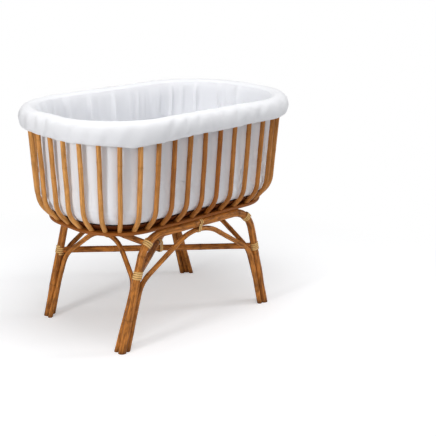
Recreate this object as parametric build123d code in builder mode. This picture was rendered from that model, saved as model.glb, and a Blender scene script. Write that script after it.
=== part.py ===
from build123d import *

import math
import os

# Rattan bassinet: a spindle basket with a cloth liner, set on a stand of bent poles.
# Millimetres and degrees. X runs along the basket, Y across it, and Z up from the floor.

# Stand: two bent frames, each a rail between two splayed legs, set in from the sides of the basket
foot_inset = 111
rail_inset = 68
rail_height = 340
pole_d = 24
pole_side_count = 12
leg_lean = 15
pole_bend = 85
bend_step = 15

# End rails meet the legs part of the way round the bend
end_rail_d = 18
end_rail_turn = 48

# Arches: thin poles beside the legs that rise to the middle of a rail
arch_d = 15.5
arch_side_count = 6
side_arch_slope = 32
side_arch_crown = 150
side_arch_knee = 90
end_arch_slope = 42
end_arch_crown = 133
end_arch_knee = 65
end_arch_toe = 4

# Stretchers: two diagonal poles, one over the other, below the rails
stretcher_d = 20
stretcher_drop = 130

# Cane lashings: a strip, flat inside and ridged outside, wound edge to edge
cane_width = 6
cane_thickness = 2
cane_gap = 0.6
cane_slack = 0.4
leg_turns = 3
corner_turns = 2
arch_turns = 1
crossing_turns = 1

# Basket plan, measured over the spindles at the rim
basket_length = 834
basket_width = 518
corner_radius = 219
rim_height = 690
rim_depth = 24
rim_wall = 8

# Spindles: straight above, bent in to the foot hoop
spindle_count = 38
spindle_d = 14.5
spindle_side_count = 6
spindle_lean = 4
spindle_bend = 80
foot_angle = 45
foot_run = 33

# Foot of the basket: hoop, bevelled band on it, cross slats within it
hoop_width = 24
hoop_height = 11
hoop_margin = 1
notch_room = 1
band_height = 20
slat_count = 10
slat_pitch = 68
slat_width = 30
slat_thickness = 5

# Flats in each corner of the cuff and the mattress
corner_flats = 10

# Liner: bag with one soft fold between each two spindles, and a padded cuff over the rim
cloth = 2.5
fold_depth = 2.5
bag_room = 1.5
cuff_drop = 52
cuff_bulge = 18
cuff_crown = 13
cuff_tuck = 40
cuff_flats = 3
cuff_room = 0.8
tuck_room = 1

# Mattress
mattress_room = 1.5
mattress_height = 46
mattress_crown = 8
mattress_roll = 9
crown_inset = 70

# Clearance where one piece sits on or against another
seat = 0.3

os.makedirs("parts", exist_ok=True)


def finish(part, name):
    """Name a finished piece and write it."""
    part.label = name
    export_step(part, f"parts/{name}.step")


# Stand geometry
foot_x = basket_length / 2 - foot_inset
frame_y = basket_width / 2 - rail_inset
lean_rise = math.tan(math.radians(leg_lean))
shoulder_x = foot_x - rail_height * lean_rise
bend_x = shoulder_x - pole_bend * math.tan(math.radians((90 - leg_lean) / 2))
bend_z = rail_height - pole_bend
end_rail_x = bend_x + pole_bend * math.cos(math.radians(end_rail_turn))
end_rail_z = bend_z + pole_bend * math.sin(math.radians(end_rail_turn))
cane_pitch = cane_width + cane_gap
cane_rise = cane_slack + cane_thickness / 2
band_reach = cane_slack + cane_thickness + seat

# Corner lashings are straight round a bend, so their hold is wider by the bend's rise over their length
corner_half = (corner_turns * cane_pitch + cane_width) / 2
corner_hold = pole_d / 2 + corner_half**2 / 2 / (pole_bend - pole_d / 2)


def upright(y):
    """Plane across the stand at y, with X to the right and Z up."""
    return Plane(origin=(0, y, 0), x_dir=(1, 0, 0), z_dir=(0, -1, 0))


def in_flats(route):
    """Points along straight runs and bends, with a bend taken in short flats."""
    points = [route @ 0]
    for edge in route.order_edges():
        flats = 1
        if edge.geom_type == GeomType.CIRCLE:
            flats = round(math.degrees(edge.length / edge.radius) / bend_step)
        points += [edge @ ((step + 1) / flats) for step in range(flats)]
    return points


def bent_pole(plane, points, bends, diameter, side_count):
    """Shaved pole along straight runs and bends, sawn flat where it stands on the floor."""
    with BuildPart() as pole:
        with BuildLine(plane):
            smooth_route = FilletPolyline(*points, radius=bends, mode=Mode.PRIVATE)
            route = Polyline(*in_flats(smooth_route))
        with BuildSketch(Plane(origin=route @ 0, x_dir=plane.z_dir, z_dir=route % 0)):
            RegularPolygon(diameter / 2, side_count)
        sweep(path=route, transition=Transition.RIGHT)
        split(bisect_by=Plane.XY, keep=Keep.TOP)
    return pole.part


# Bent frames: the legs run on below the floor and are cut there
frame_route = [
    (-foot_x - pole_d * lean_rise, -pole_d),
    (-shoulder_x, rail_height),
    (shoulder_x, rail_height),
    (foot_x + pole_d * lean_rise, -pole_d),
]
for side, y in (("front", -frame_y), ("back", frame_y)):
    frame = bent_pole(upright(y), frame_route, [pole_bend, pole_bend], pole_d, pole_side_count)
    finish(frame, f"{side}_u_frame")

# Side arches: up the inner side of the legs, over a knee, and up to the rail's underside
side_arch_top = rail_height - pole_d / 2 - seat - arch_d / 2
side_slope = math.tan(math.radians(side_arch_slope))
side_apex = side_arch_top + side_arch_crown * (1 / math.cos(math.radians(side_arch_slope)) - 1)
arch_foot_x = foot_x - (pole_d / 2 + seat + arch_d / 2) / math.cos(math.radians(leg_lean))
side_knee_z = (side_apex - side_slope * arch_foot_x) / (1 - side_slope * lean_rise)
side_knee_x = arch_foot_x - side_knee_z * lean_rise
side_arch_route = [
    (-arch_foot_x - pole_d * lean_rise, -pole_d),
    (-side_knee_x, side_knee_z),
    (0, side_apex),
    (side_knee_x, side_knee_z),
    (arch_foot_x + pole_d * lean_rise, -pole_d),
]
side_arch_bends = [side_arch_knee, side_arch_crown, side_arch_knee]
for side, y in (("front", -frame_y), ("back", frame_y)):
    arch = bent_pole(upright(y), side_arch_route, side_arch_bends, arch_d, arch_side_count)
    finish(arch, f"{side}_arch")

# End arches: in a plane that leans in from the feet to the underside of the end rail
end_arch_top = end_rail_z - end_rail_d / 2 - seat - arch_d / 2
end_lean = math.atan2(foot_x + end_arch_toe - end_rail_x, end_arch_top)
end_top_run = end_arch_top / math.cos(end_lean)
end_apex = end_top_run + end_arch_crown * (1 / math.cos(math.radians(end_arch_slope)) - 1)
end_leg_y = frame_y - pole_d / 2 - seat - arch_d / 2
end_knee = end_apex - end_leg_y * math.tan(math.radians(end_arch_slope))
end_arch_route = [
    (-end_leg_y, -pole_d),
    (-end_leg_y, end_knee),
    (0, end_apex),
    (end_leg_y, end_knee),
    (end_leg_y, -pole_d),
]
end_arch_bends = [end_arch_knee, end_arch_crown, end_arch_knee]
for side, way in (("left", -1), ("right", 1)):
    leaning = Plane(
        origin=(way * (foot_x + end_arch_toe), 0, 0),
        x_dir=(0, 1, 0),
        z_dir=(math.cos(end_lean), 0, way * math.sin(end_lean)),
    )
    arch = bent_pole(leaning, end_arch_route, end_arch_bends, arch_d, arch_side_count)
    finish(arch, f"{side}_end_arch")


def leg_axis(way_x, way_y, height):
    """Plane square to a leg at a height, facing up the leg."""
    lean = math.radians(leg_lean)
    return Plane(
        origin=(way_x * (foot_x - height * lean_rise), way_y * frame_y, height),
        x_dir=(0, way_y, 0),
        z_dir=(-way_x * math.sin(lean), 0, math.cos(lean)),
    )


def corner_axis(way_x, way_y):
    """Plane square to the bend of a frame where an end rail meets it, facing up the bend."""
    turn = math.radians(end_rail_turn)
    return Plane(
        origin=(way_x * end_rail_x, way_y * frame_y, end_rail_z),
        x_dir=(0, way_y, 0),
        z_dir=(-way_x * math.sin(turn), 0, math.cos(turn)),
    )


def coped_pole(start, end, diameter, hollow):
    """Straight pole between two planes' centres, its ends hollowed to fit round the lashed poles there."""
    with BuildPart() as pole:
        run = end.origin - start.origin
        with BuildSketch(Plane(origin=start.origin, z_dir=run)):
            Circle(diameter / 2)
        extrude(amount=run.length)
        for pole_there in (start, end):
            with BuildSketch(pole_there):
                Circle(hollow)
            extrude(amount=2 * pole_d, both=True, mode=Mode.SUBTRACT)
    return pole.part


# End rails and stretchers
for side, way in (("left", -1), ("right", 1)):
    rail = coped_pole(corner_axis(way, -1), corner_axis(way, 1), end_rail_d, corner_hold + band_reach)
    finish(rail, f"{side}_end_rail")

stretcher_height = rail_height - stretcher_drop
upper_stretcher_height = stretcher_height + stretcher_d + seat
lower_ends = [leg_axis(-1, 1, stretcher_height), leg_axis(1, -1, stretcher_height)]
upper_ends = [leg_axis(-1, -1, upper_stretcher_height), leg_axis(1, 1, upper_stretcher_height)]
finish(coped_pole(*lower_ends, stretcher_d, pole_d / 2 + band_reach), "lower_stretcher")
finish(coped_pole(*upper_ends, stretcher_d, pole_d / 2 + band_reach), "upper_stretcher")


def biarc(start, start_way, end, end_way):
    """Two arcs that flow into each other and leave and arrive in the given directions."""
    gap = end - start
    both = gap.dot(start_way + end_way)
    spread = 2 * (1 - start_way.dot(end_way))
    reach = (math.sqrt(both**2 + spread * gap.dot(gap)) - both) / spread
    first = start + start_way * reach
    last = end - end_way * reach
    meet = (first + last) / 2
    TangentArc(start, meet, tangent=start_way)
    TangentArc(meet, end, tangent=last - first)


def belt_stations(poles):
    """Places round a belt over poles listed anticlockwise: share of the way round, point, direction."""
    if len(poles) == 1:
        u, v, radius = poles[0]
        low = (0, Vector(u, v - radius), Vector(1, 0))
        high = (1 / 2, Vector(u, v + radius), Vector(-1, 0))
        return [low, high], 2 * math.pi * radius
    touches = []
    for (u, v, radius), (next_u, next_v, next_radius) in zip(poles, poles[1:] + poles[:1]):
        heading = math.atan2(next_v - v, next_u - u)
        tilt = math.asin((radius - next_radius) / math.hypot(next_u - u, next_v - v))
        touches.append(heading - math.pi / 2 + tilt)
    places = []
    length = 0
    for (u, v, radius), arrive, leave in zip(poles, touches[-1:] + touches[:-1], touches):
        for angle, step in ((arrive, 0), (leave, radius * ((leave - arrive) % (2 * math.pi)))):
            point = Vector(u + radius * math.cos(angle), v + radius * math.sin(angle))
            if places:
                length += step or (point - places[-1][1]).length
            places.append((length, point, Vector(-math.sin(angle), math.cos(angle))))
    length += (places[0][1] - places[-1][1]).length
    return [(walked / length, point, way) for walked, point, way in places], length


def least_gap(route, turns, samples_per_turn=24):
    """Least clear distance between one turn of a strip and the next, measured on points."""
    count = turns * samples_per_turn
    points = [route.position_at(step / count) for step in range(count + 1)]
    gaps = [
        (points[here] - points[there]).length
        for here in range(count + 1)
        for there in range(here + samples_per_turn // 2, count + 1)
    ]
    return min(gaps) - cane_width


def lashing(plane, turns, *poles):
    """Cane strip wound along the plane's normal round poles, each a place in the plane and a radius."""
    places, length = belt_stations([(u, v, radius + cane_rise) for u, v, radius in poles])
    climb = plane.z_dir * cane_pitch
    stations = []
    for turn in range(turns):
        for share, point, way in places:
            place = plane.from_local_coords(point) + climb * (turn + share - turns / 2)
            heading = plane.x_dir * way.X + plane.y_dir * way.Y + climb / length
            stations.append((place, heading.normalized()))
    stations.append((stations[0][0] + climb * turns, stations[0][1]))
    with BuildPart() as strip:
        with BuildLine() as route:
            first, first_way = stations[0]
            last, last_way = stations[-1]
            Line(first - first_way * cane_width, first)
            for (start, start_way), (end, end_way) in zip(stations, stations[1:]):
                if start_way == end_way:
                    Line(start, end)
                else:
                    biarc(start, start_way, end, end_way)
            Line(last, last + last_way * cane_width)
        path = route.wire()
        with BuildSketch(Plane(origin=path @ 0, x_dir=plane.z_dir, z_dir=path % 0)):
            Polygon(
                (-cane_width / 2, -cane_thickness / 2),
                (cane_width / 2, -cane_thickness / 2),
                (0, cane_thickness / 2),
            )
        reach = plane.z_dir * (cane_pitch * turns / 2 + cane_width * first_way.dot(plane.z_dir))
        axis = Edge.make_line(plane.origin - reach, plane.origin + reach)
        sweep(path=path, binormal=axis)
    print(f"lashing of {turns} turns: least gap {least_gap(path, turns):.2f} mm")
    return strip.part


def grouped(name, windings):
    """One node of several separate windings."""
    finish(Compound([winding.solid() for winding in windings]), name)


# Corner and arch lashings
corners = [corner_axis(way_x, way_y) for way_x in (-1, 1) for way_y in (-1, 1)]
grouped("corner_lashings", [lashing(corner, corner_turns, (0, 0, corner_hold)) for corner in corners])

side_tops = [Plane(origin=(0, y, rail_height), x_dir=(0, 1, 0), z_dir=(1, 0, 0)) for y in (-frame_y, frame_y)]
end_tops = [
    Plane(origin=(x, 0, end_rail_z), x_dir=(-1, 0, 0), z_dir=(0, 1, 0)) for x in (-end_rail_x, end_rail_x)
]
side_poles = [(0, 0, pole_d / 2), (0, side_arch_top - rail_height, arch_d / 2)]
end_poles = [(0, 0, end_rail_d / 2), (0, end_arch_top - end_rail_z, arch_d / 2)]
arch_windings = [lashing(top, arch_turns, *side_poles) for top in side_tops]
arch_windings += [lashing(top, arch_turns, *end_poles) for top in end_tops]
grouped("arch_lashings", arch_windings)

# Stretcher lashings: one on each leg and one over the crossing.
# The stretchers run askew through that one, so its hold is as wide as they are over its length.
crossing_angle = math.atan2(frame_y, foot_x - upper_stretcher_height * lean_rise)
crossing_half = (crossing_turns * cane_pitch + cane_width) / 2
crossing_u = (
    stretcher_d / 2 / math.cos(crossing_angle) + crossing_half * math.tan(crossing_angle) - stretcher_d / 2
)
crossing_v = (stretcher_d + seat) / 2
crossing = Plane(origin=(0, 0, stretcher_height + crossing_v), x_dir=(0, 1, 0), z_dir=(1, 0, 0))
crossing_hold = [
    (u, v, stretcher_d / 2)
    for u, v in (
        (crossing_u, -crossing_v),
        (crossing_u, crossing_v),
        (-crossing_u, crossing_v),
        (-crossing_u, -crossing_v),
    )
]
stretcher_windings = [lashing(leg, leg_turns, (0, 0, pole_d / 2)) for leg in lower_ends + upper_ends]
stretcher_windings.append(lashing(crossing, crossing_turns, *crossing_hold))
grouped("stretcher_lashings", stretcher_windings)

# Basket geometry: every level is the same core rectangle grown by a corner radius
core_x = basket_length / 2 - corner_radius
core_y = basket_width / 2 - corner_radius
hoop_bottom = rail_height + pole_d / 2 + seat
hoop_top = hoop_bottom + hoop_height
band_top = hoop_top + band_height

# Spindle centre line, in outward distance from the core and height
lean = math.radians(spindle_lean)
foot_tilt = math.radians(foot_angle)
spindle_top_r = corner_radius - spindle_d / 2 / math.cos(lean)
bend_reach = spindle_bend * math.tan((foot_tilt - lean) / 2)
knee_z = hoop_top + (foot_run + bend_reach) * math.cos(foot_tilt)
knee_r = spindle_top_r - (rim_height - knee_z) * math.tan(lean)
foot_r = knee_r - (knee_z - hoop_top) * math.tan(foot_tilt)
bend_centre_r = knee_r + bend_reach * math.sin(lean) - spindle_bend * math.cos(lean)
bend_centre_z = knee_z + bend_reach * math.cos(lean) + spindle_bend * math.sin(lean)
hoop_r = foot_r + spindle_d / 2 / math.cos(foot_tilt) + hoop_margin
hoop_inner_r = hoop_r - hoop_width


def rounded(radius):
    """Rounded outline of the basket at one level."""
    RectangleRounded(2 * (core_x + radius), 2 * (core_y + radius), radius)


def shell(outer_levels, inner_levels):
    """Ring between two stacks of outlines, each a list of radius and height."""
    with BuildPart() as ring:
        for levels, mode in ((outer_levels, Mode.ADD), (inner_levels, Mode.SUBTRACT)):
            for radius, height in levels:
                with BuildSketch(Plane.XY.offset(height)):
                    rounded(radius)
            loft(ruled=True, mode=mode)
    return ring.part


# Spindles, one blank placed round the rim at equal steps, the middles of the sides and ends left open
with BuildPart() as spindle_blank:
    with BuildLine(Plane.XZ):
        smooth_route = FilletPolyline(
            (spindle_top_r + spindle_d * math.tan(lean), rim_height + spindle_d),
            (knee_r, knee_z),
            (foot_r - spindle_d * math.tan(foot_tilt), hoop_top - spindle_d),
            radius=spindle_bend,
            mode=Mode.PRIVATE,
        )
        spindle_route = Polyline(*in_flats(smooth_route))
    with BuildSketch(Plane(origin=spindle_route @ 0, x_dir=(0, 1, 0), z_dir=spindle_route % 0)):
        RegularPolygon(spindle_d / 2, spindle_side_count, major_radius=False)
    sweep(path=spindle_route, transition=Transition.RIGHT)
    split(bisect_by=Plane.XY.offset(hoop_top), keep=Keep.TOP)
    split(bisect_by=Plane.XY.offset(rim_height), keep=Keep.BOTTOM)

quarter_arc = math.pi / 2 * spindle_top_r
quarter_run = core_x + quarter_arc + core_y


def rim_station(share):
    """Core point and outward direction, a share of the way round from the middle of the front."""
    quarter, run = divmod(share * 4 * quarter_run, quarter_run)
    quarter = int(quarter) % 4
    if quarter % 2:
        run = quarter_run - run
    turn = min(max((run - core_x) / spindle_top_r, 0), math.pi / 2)
    point = Vector(min(run, core_x), max(run - core_x - quarter_arc, 0) - core_y)
    way = Vector(math.sin(turn), -math.cos(turn))
    flip_x = -1 if quarter in (2, 3) else 1
    flip_y = -1 if quarter in (1, 2) else 1
    return Vector(point.X * flip_x, point.Y * flip_y), Vector(way.X * flip_x, way.Y * flip_y)


for number in range(spindle_count):
    point, way = rim_station((number + 0.5) / spindle_count)
    with BuildPart() as spindle:
        with Locations(Plane(origin=point, x_dir=way, z_dir=(0, 0, 1))):
            add(spindle_blank.part)
    finish(spindle.part, f"spindle_{number + 1:02d}")

# Rim hoop inside the spindle tops, leaning with them
rim_low = rim_height - rim_depth
rim_r = spindle_top_r - (spindle_d / 2 + seat) / math.cos(lean)
rim_low_r = rim_r - rim_depth * math.tan(lean)
top_rim = shell(
    [(rim_low_r, rim_low), (rim_r, rim_height)],
    [(rim_low_r - rim_wall, rim_low), (rim_r - rim_wall, rim_height)],
)
finish(top_rim, "top_rim")

# Foot hoop, notched over the lashings on the rails, and the bevelled band that the spindle feet lean on
plain_hoop = shell(
    [(hoop_r, hoop_bottom), (hoop_r, hoop_top)],
    [(hoop_inner_r, hoop_bottom), (hoop_inner_r, hoop_top)],
)
with BuildPart() as foot_hoop:
    add(plain_hoop)
    with BuildSketch(Plane.XY.offset(hoop_bottom)):
        Rectangle(arch_turns * cane_pitch + cane_width + 2 * notch_room, basket_width)
    extrude(amount=band_reach - seat, mode=Mode.SUBTRACT)
finish(foot_hoop.part, "foot_hoop")
band_r = foot_r - (spindle_d / 2 + seat) / math.cos(foot_tilt)
band_top_r = band_r + band_height * math.tan(foot_tilt)
base_band = shell(
    [(band_r, hoop_top), (band_top_r, band_top)],
    [(hoop_inner_r, hoop_top), (hoop_inner_r, band_top)],
)
finish(base_band, "base_band")

# Cross slats, nailed in between the sides of the hoop
slat_r = hoop_inner_r - seat
with BuildPart() as base_slats:
    with BuildSketch(Plane.XY.offset(hoop_bottom)):
        with GridLocations(slat_pitch, 0, slat_count, 1):
            Rectangle(slat_width, basket_width)
        RectangleRounded(2 * (core_x + slat_r), 2 * (core_y + slat_r), slat_r, mode=Mode.INTERSECT)
    extrude(amount=slat_thickness)
finish(base_slats.part, "base_slats")


def folds(radius):
    """Outline of the bag at one level: drawn in at each spindle, swelling out in a fold between."""
    outline = []
    for number in range(spindle_count):
        for step, swell in ((1 / 2, 0), (5 / 6, fold_depth), (7 / 6, fold_depth)):
            point, way = rim_station((number + step) / spindle_count)
            outline.append(point + way * (radius + swell))
    return outline


def bend_level(angle):
    """Radius and height of the bag where it follows the inside of the spindles' bend."""
    inside = spindle_bend - spindle_d / 2 - bag_room - fold_depth
    turn = math.radians(angle)
    return bend_centre_r + inside * math.cos(turn), bend_centre_z - inside * math.sin(turn)


def soft_outline(radius):
    """Outline of the basket at one level with flats in its corners, each flat touching the round corner."""
    outline = []
    reach = radius / math.cos(math.radians(45 / corner_flats))
    for quarter, (flip_x, flip_y) in enumerate(((1, 1), (-1, 1), (-1, -1), (1, -1))):
        for step in range(corner_flats):
            turn = math.radians(90 * (quarter + (step + 0.5) / corner_flats))
            x = flip_x * core_x + reach * math.cos(turn)
            y = flip_y * core_y + reach * math.sin(turn)
            outline.append((x, y))
    return outline


# Liner bag: a tray on the slats, out over the band, then up inside the spindles and the rim
bag_floor = hoop_bottom + slat_thickness + seat
bag_low_r = hoop_inner_r - bag_room - fold_depth
bag_step = band_top + seat
bag_top_r = rim_low_r - rim_wall - bag_room - fold_depth
bag_wall = [
    (band_top_r - fold_depth, bag_step),
    bend_level((foot_angle + spindle_lean) / 2),
    bend_level(spindle_lean),
    (bag_top_r, rim_height),
]
bag_wall_inside = [(radius - cloth, height + cloth) for radius, height in bag_wall[:-1]]
bag_wall_inside.append((bag_top_r - cloth, rim_height))
with BuildPart() as liner_bag:
    bag_sides = (
        (bag_low_r, bag_floor, bag_wall, Mode.ADD),
        (bag_low_r - cloth, bag_floor + cloth, bag_wall_inside, Mode.SUBTRACT),
    )
    for tray_r, tray_z, levels, mode in bag_sides:
        with BuildSketch(Plane.XY.offset(tray_z)):
            rounded(tray_r)
        extrude(amount=bag_step - bag_floor, mode=mode)
        for radius, height in levels:
            with BuildSketch(Plane.XY.offset(height)):
                with BuildLine():
                    Polyline(*folds(radius), close=True)
                make_face()
        loft(ruled=True, mode=mode)
finish(liner_bag.part, "liner_bag")

# Padded cuff: swept round the rim, drawn in at its hem, over the top and tucked into the bag
cuff_inside = corner_radius + cuff_room
cuff_under = rim_height + cuff_room
tuck_out = bag_top_r - cloth - tuck_room
hem_z = rim_height - cuff_drop
cuff_top = rim_height + cuff_crown
crown_r = (cuff_inside + tuck_out) / 2
shoulder_z = rim_height + cuff_crown / 4
tuck_low = rim_height - cuff_tuck
bag_bend_r, bag_bend_z = bag_wall[-2]
tuck_lean = cuff_tuck * (bag_top_r - bag_bend_r) / (rim_height - bag_bend_z)
with BuildPart() as liner_cuff:
    with BuildLine() as cuff_route:
        Polyline((core_x + corner_radius, 0), *soft_outline(corner_radius), close=True)
    with BuildSketch(Plane(origin=cuff_route.wire() @ 0, x_dir=(1, 0, 0), z_dir=(0, -1, 0))):
        with BuildLine():
            bulge = ThreePointArc(
                (cuff_inside + cloth - corner_radius, hem_z),
                (cuff_bulge, (hem_z + rim_height) / 2),
                (cuff_bulge / 2, shoulder_z),
                mode=Mode.PRIVATE,
            )
            crown = ThreePointArc(
                bulge @ 1,
                (crown_r - corner_radius, cuff_top),
                (tuck_out - 2 * cloth - corner_radius, shoulder_z),
                mode=Mode.PRIVATE,
            )
            Polyline(
                *(bulge @ (step / cuff_flats) for step in range(cuff_flats)),
                *(crown @ (step / cuff_flats) for step in range(cuff_flats + 1)),
                (tuck_out - tuck_lean - 2 * cloth - corner_radius, tuck_low),
                (tuck_out - tuck_lean - corner_radius, tuck_low),
                (tuck_out - corner_radius, rim_height),
                (tuck_out - corner_radius, cuff_under),
                (cuff_inside - corner_radius, cuff_under),
                (cuff_inside - corner_radius, hem_z),
                close=True,
            )
        make_face()
    sweep(path=cuff_route.wire(), transition=Transition.RIGHT)
finish(liner_cuff.part, "liner_cuff")

# Mattress: drawn in round its edges, with a low crown
mattress_r = bag_low_r - cloth - mattress_room
mattress_z = bag_floor + cloth + seat
crown_slope = math.degrees(math.atan2(crown_inset - mattress_roll, mattress_crown))
with BuildPart() as mattress:
    with BuildSketch(Plane.XY.offset(mattress_z)):
        with BuildLine():
            Polyline(*soft_outline(mattress_r), close=True)
        make_face()
    extrude(amount=mattress_height)
    chamfer(mattress.faces().filter_by(Axis.Z).edges(), mattress_roll)
    extrude(mattress.faces().sort_by(Axis.Z)[-1], amount=mattress_crown, taper=crown_slope)
finish(mattress.part, "mattress")
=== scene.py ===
import math
import random

import bpy
import numpy as np
from mathutils import Matrix, Vector


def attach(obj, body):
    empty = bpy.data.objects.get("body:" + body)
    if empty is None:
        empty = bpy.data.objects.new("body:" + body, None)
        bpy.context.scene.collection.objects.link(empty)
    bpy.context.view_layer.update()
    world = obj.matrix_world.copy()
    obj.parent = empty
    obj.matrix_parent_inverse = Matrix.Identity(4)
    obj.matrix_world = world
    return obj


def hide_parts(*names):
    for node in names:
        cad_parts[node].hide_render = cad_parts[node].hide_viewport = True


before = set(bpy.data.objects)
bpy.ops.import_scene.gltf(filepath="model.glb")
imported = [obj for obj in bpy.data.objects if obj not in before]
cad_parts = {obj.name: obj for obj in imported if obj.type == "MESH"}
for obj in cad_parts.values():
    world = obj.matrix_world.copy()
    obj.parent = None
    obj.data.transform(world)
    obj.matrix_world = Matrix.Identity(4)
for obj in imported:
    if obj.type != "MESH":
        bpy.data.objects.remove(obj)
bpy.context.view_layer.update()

# Bent frames: two round rattan poles, steamed and bent into a rail between two splayed legs.
# They are lacquered over the natural skin, with its growth rings, streaks and blotches,
# and sawn flat where they stand on the floor.
frame_foot = 0.306
frame_side = 0.191
frame_rail = 0.340
frame_lean = math.radians(15)
frame_bend = 0.085
frame_radius = 0.012
frame_light = (0.84, 0.345, 0.075)
frame_skin = (0.56, 0.170, 0.022)
frame_dark = (0.050, 0.009, 0.001)
sharp_edge = math.radians(42)
any_phase = 6.28


class Finish:
    """A value in a material's nodes; sums and products of such values add Math nodes."""

    def __init__(self, tree, socket=None):
        self.tree = tree
        self.socket = socket

    def node(self, kind, settings, sockets, result=0):
        """A node of this kind: its settings are made first, then its sockets filled or linked."""
        made = self.tree.nodes.new(kind)
        for setting, value in settings.items():
            if setting == "stops":
                self.set_stops(made.color_ramp, value)
            else:
                setattr(made, setting, value)
        inputs = {socket.identifier: socket for socket in made.inputs}
        for name, value in sockets.items():
            if isinstance(value, Finish):
                self.tree.links.new(value.socket, inputs[name])
            else:
                inputs[name].default_value = value
        return Finish(self.tree, made.outputs[result] if made.outputs else None)

    @staticmethod
    def set_stops(ramp, stops):
        """Fills a ramp with grey levels at its places."""
        while len(ramp.elements) > 1:
            ramp.elements.remove(ramp.elements[-1])
        for index, (place, level) in enumerate(stops):
            stop = ramp.elements[0] if index == 0 else ramp.elements.new(place)
            stop.position = place
            stop.color = (level, level, level, 1)

    def maths(self, operation, first, second):
        return self.node("ShaderNodeMath", {"operation": operation}, {"Value": first, "Value_001": second})

    def __add__(self, other):
        return self.maths("ADD", self, other)

    def __radd__(self, other):
        return self.maths("ADD", other, self)

    def __mul__(self, other):
        return self.maths("MULTIPLY", self, other)

    def __rmul__(self, other):
        return self.maths("MULTIPLY", other, self)

    def attribute(self, name, result):
        return self.node("ShaderNodeAttribute", {"attribute_name": name}, {}, result)

    def stretched(self, vector, scale):
        """The vector times a scale for each of its directions."""
        sockets = {"Vector": vector, "Vector_001": scale}
        return self.node("ShaderNodeVectorMath", {"operation": "MULTIPLY"}, sockets)

    def noise(self, vector, detail=3, roughness=0.55):
        sockets = {"Vector": vector, "Scale": 1.0, "Detail": detail, "Roughness": roughness}
        return self.node("ShaderNodeTexNoise", {}, sockets)

    def ramp(self, value, *stops):
        return self.node("ShaderNodeValToRGB", {"stops": stops}, {"Fac": value})

    def tint(self, share, first, second):
        """A colour between two colours."""
        first = first if isinstance(first, Finish) else (*first, 1)
        second = second if isinstance(second, Finish) else (*second, 1)
        sockets = {"Factor_Float": share, "A_Color": first, "B_Color": second}
        return self.node("ShaderNodeMix", {"data_type": "RGBA"}, sockets, 2)

    def bump(self, height, distance, strength=1.0):
        return self.node("ShaderNodeBump", {}, {"Height": height, "Distance": distance, "Strength": strength})

    def surface(self, **sockets):
        """The finished surface, closed by the material's output."""
        named = {name.replace("_", " "): value for name, value in sockets.items()}
        shader = self.node("ShaderNodeBsdfPrincipled", {}, named)
        self.node("ShaderNodeOutputMaterial", {}, {"Surface": shader})


def finish_named(name):
    """A new material and the start of its nodes."""
    material = bpy.data.materials.new(name)
    material.use_nodes = True
    material.node_tree.nodes.clear()
    return material, Finish(material.node_tree)


def rattan_skin(name, light, skin, dark, streaks, blotches, rings):
    """Lacquered rattan: streaks along the pole, blotches, dark growth rings, and darker towards the floor at
    the feet.

    Each pole has a tone of its own, from the plain skin to the light one; on the spindles the tone also
    carries painted light, higher towards the ends of the basket.
    """
    material, start = finish_named(name)
    grain = start.attribute("grain", 1)
    tone = start.attribute("tone", 2)
    from_ring = start.attribute("from_ring", 2)
    fine = start.ramp(start.noise(start.stretched(grain, (430, 430, 14))), (0.40, 0), (0.62, 1))
    broad = start.ramp(start.noise(start.stretched(grain, (190, 190, 13)), 2), (0.43, 0), (0.59, 1))
    blotch = start.ramp(start.noise(start.stretched(grain, (90, 90, 38)), 4, 0.62), (0.46, 0), (0.63, 1))
    ring = start.ramp(from_ring * 100, (0.06, 1), (0.32, 0.22), (0.9, 0))
    pale = start.tint(tone, skin, light)
    streaked = start.tint(fine * (0.4 * streaks) + broad * (0.6 * streaks), pale, dark)
    mottled = start.tint(blotch * blotches, streaked, dark)
    ringed = start.tint(ring * rings, mottled, tuple(level * 0.45 for level in dark))
    place = start.node("ShaderNodeTexCoord", {}, {}, "Object")
    height = start.node("ShaderNodeSeparateXYZ", {}, {"Vector": place}, 2)
    # Darker towards the floor, over the lowest two centimetres or so of each pole.
    darkened_near_floor = start.ramp(height * 20 + blotch * 0.2, (0.02, 1), (0.42, 0))
    darkened_low = start.tint(darkened_near_floor * 0.7, ringed, dark)
    relief = fine * 0.35 + broad * 0.5 + ring * 1.2
    start.surface(
        Base_Color=darkened_low,
        Roughness=0.30 + blotch * 0.16 + ring * 0.2,
        Specular_IOR_Level=0.2,
        Normal=start.bump(relief, 0.0005, 0.7),
    )
    return material


def even_points(points, step):
    """Points at equal steps along a line of points."""
    points = np.array(points)
    walked = np.concatenate([[0], np.cumsum(np.linalg.norm(np.diff(points, axis=0), axis=1))])
    places = np.linspace(0, walked[-1], max(2, round(walked[-1] / step)) + 1)
    return np.stack([np.interp(places, walked, points[:, axis]) for axis in range(3)], axis=1)


def bent_route(corners, bends, step=0.009, arc_steps=24):
    """Straight runs between corners, each corner rounded to its own radius."""
    corners = [Vector(corner) for corner in corners]
    points = [corners[0]]
    for before, corner, after, radius in zip(corners, corners[1:], corners[2:], bends):
        come = (corner - before).normalized()
        go = (after - corner).normalized()
        turn = come.angle(go)
        centre = corner + (go - come).normalized() * (radius / math.cos(turn / 2))
        start = corner - come * radius * math.tan(turn / 2) - centre
        for part in range(arc_steps + 1):
            angle = turn * part / arc_steps
            points.append(centre + start * math.cos(angle) + come * radius * math.sin(angle))
    points.append(corners[-1])
    return even_points(points, step)


def sawn_level(height):
    """A cut of a pole's end at one height."""
    return lambda ring, way: ring + way * ((height - ring[:, 2:]) / way[2])


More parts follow.
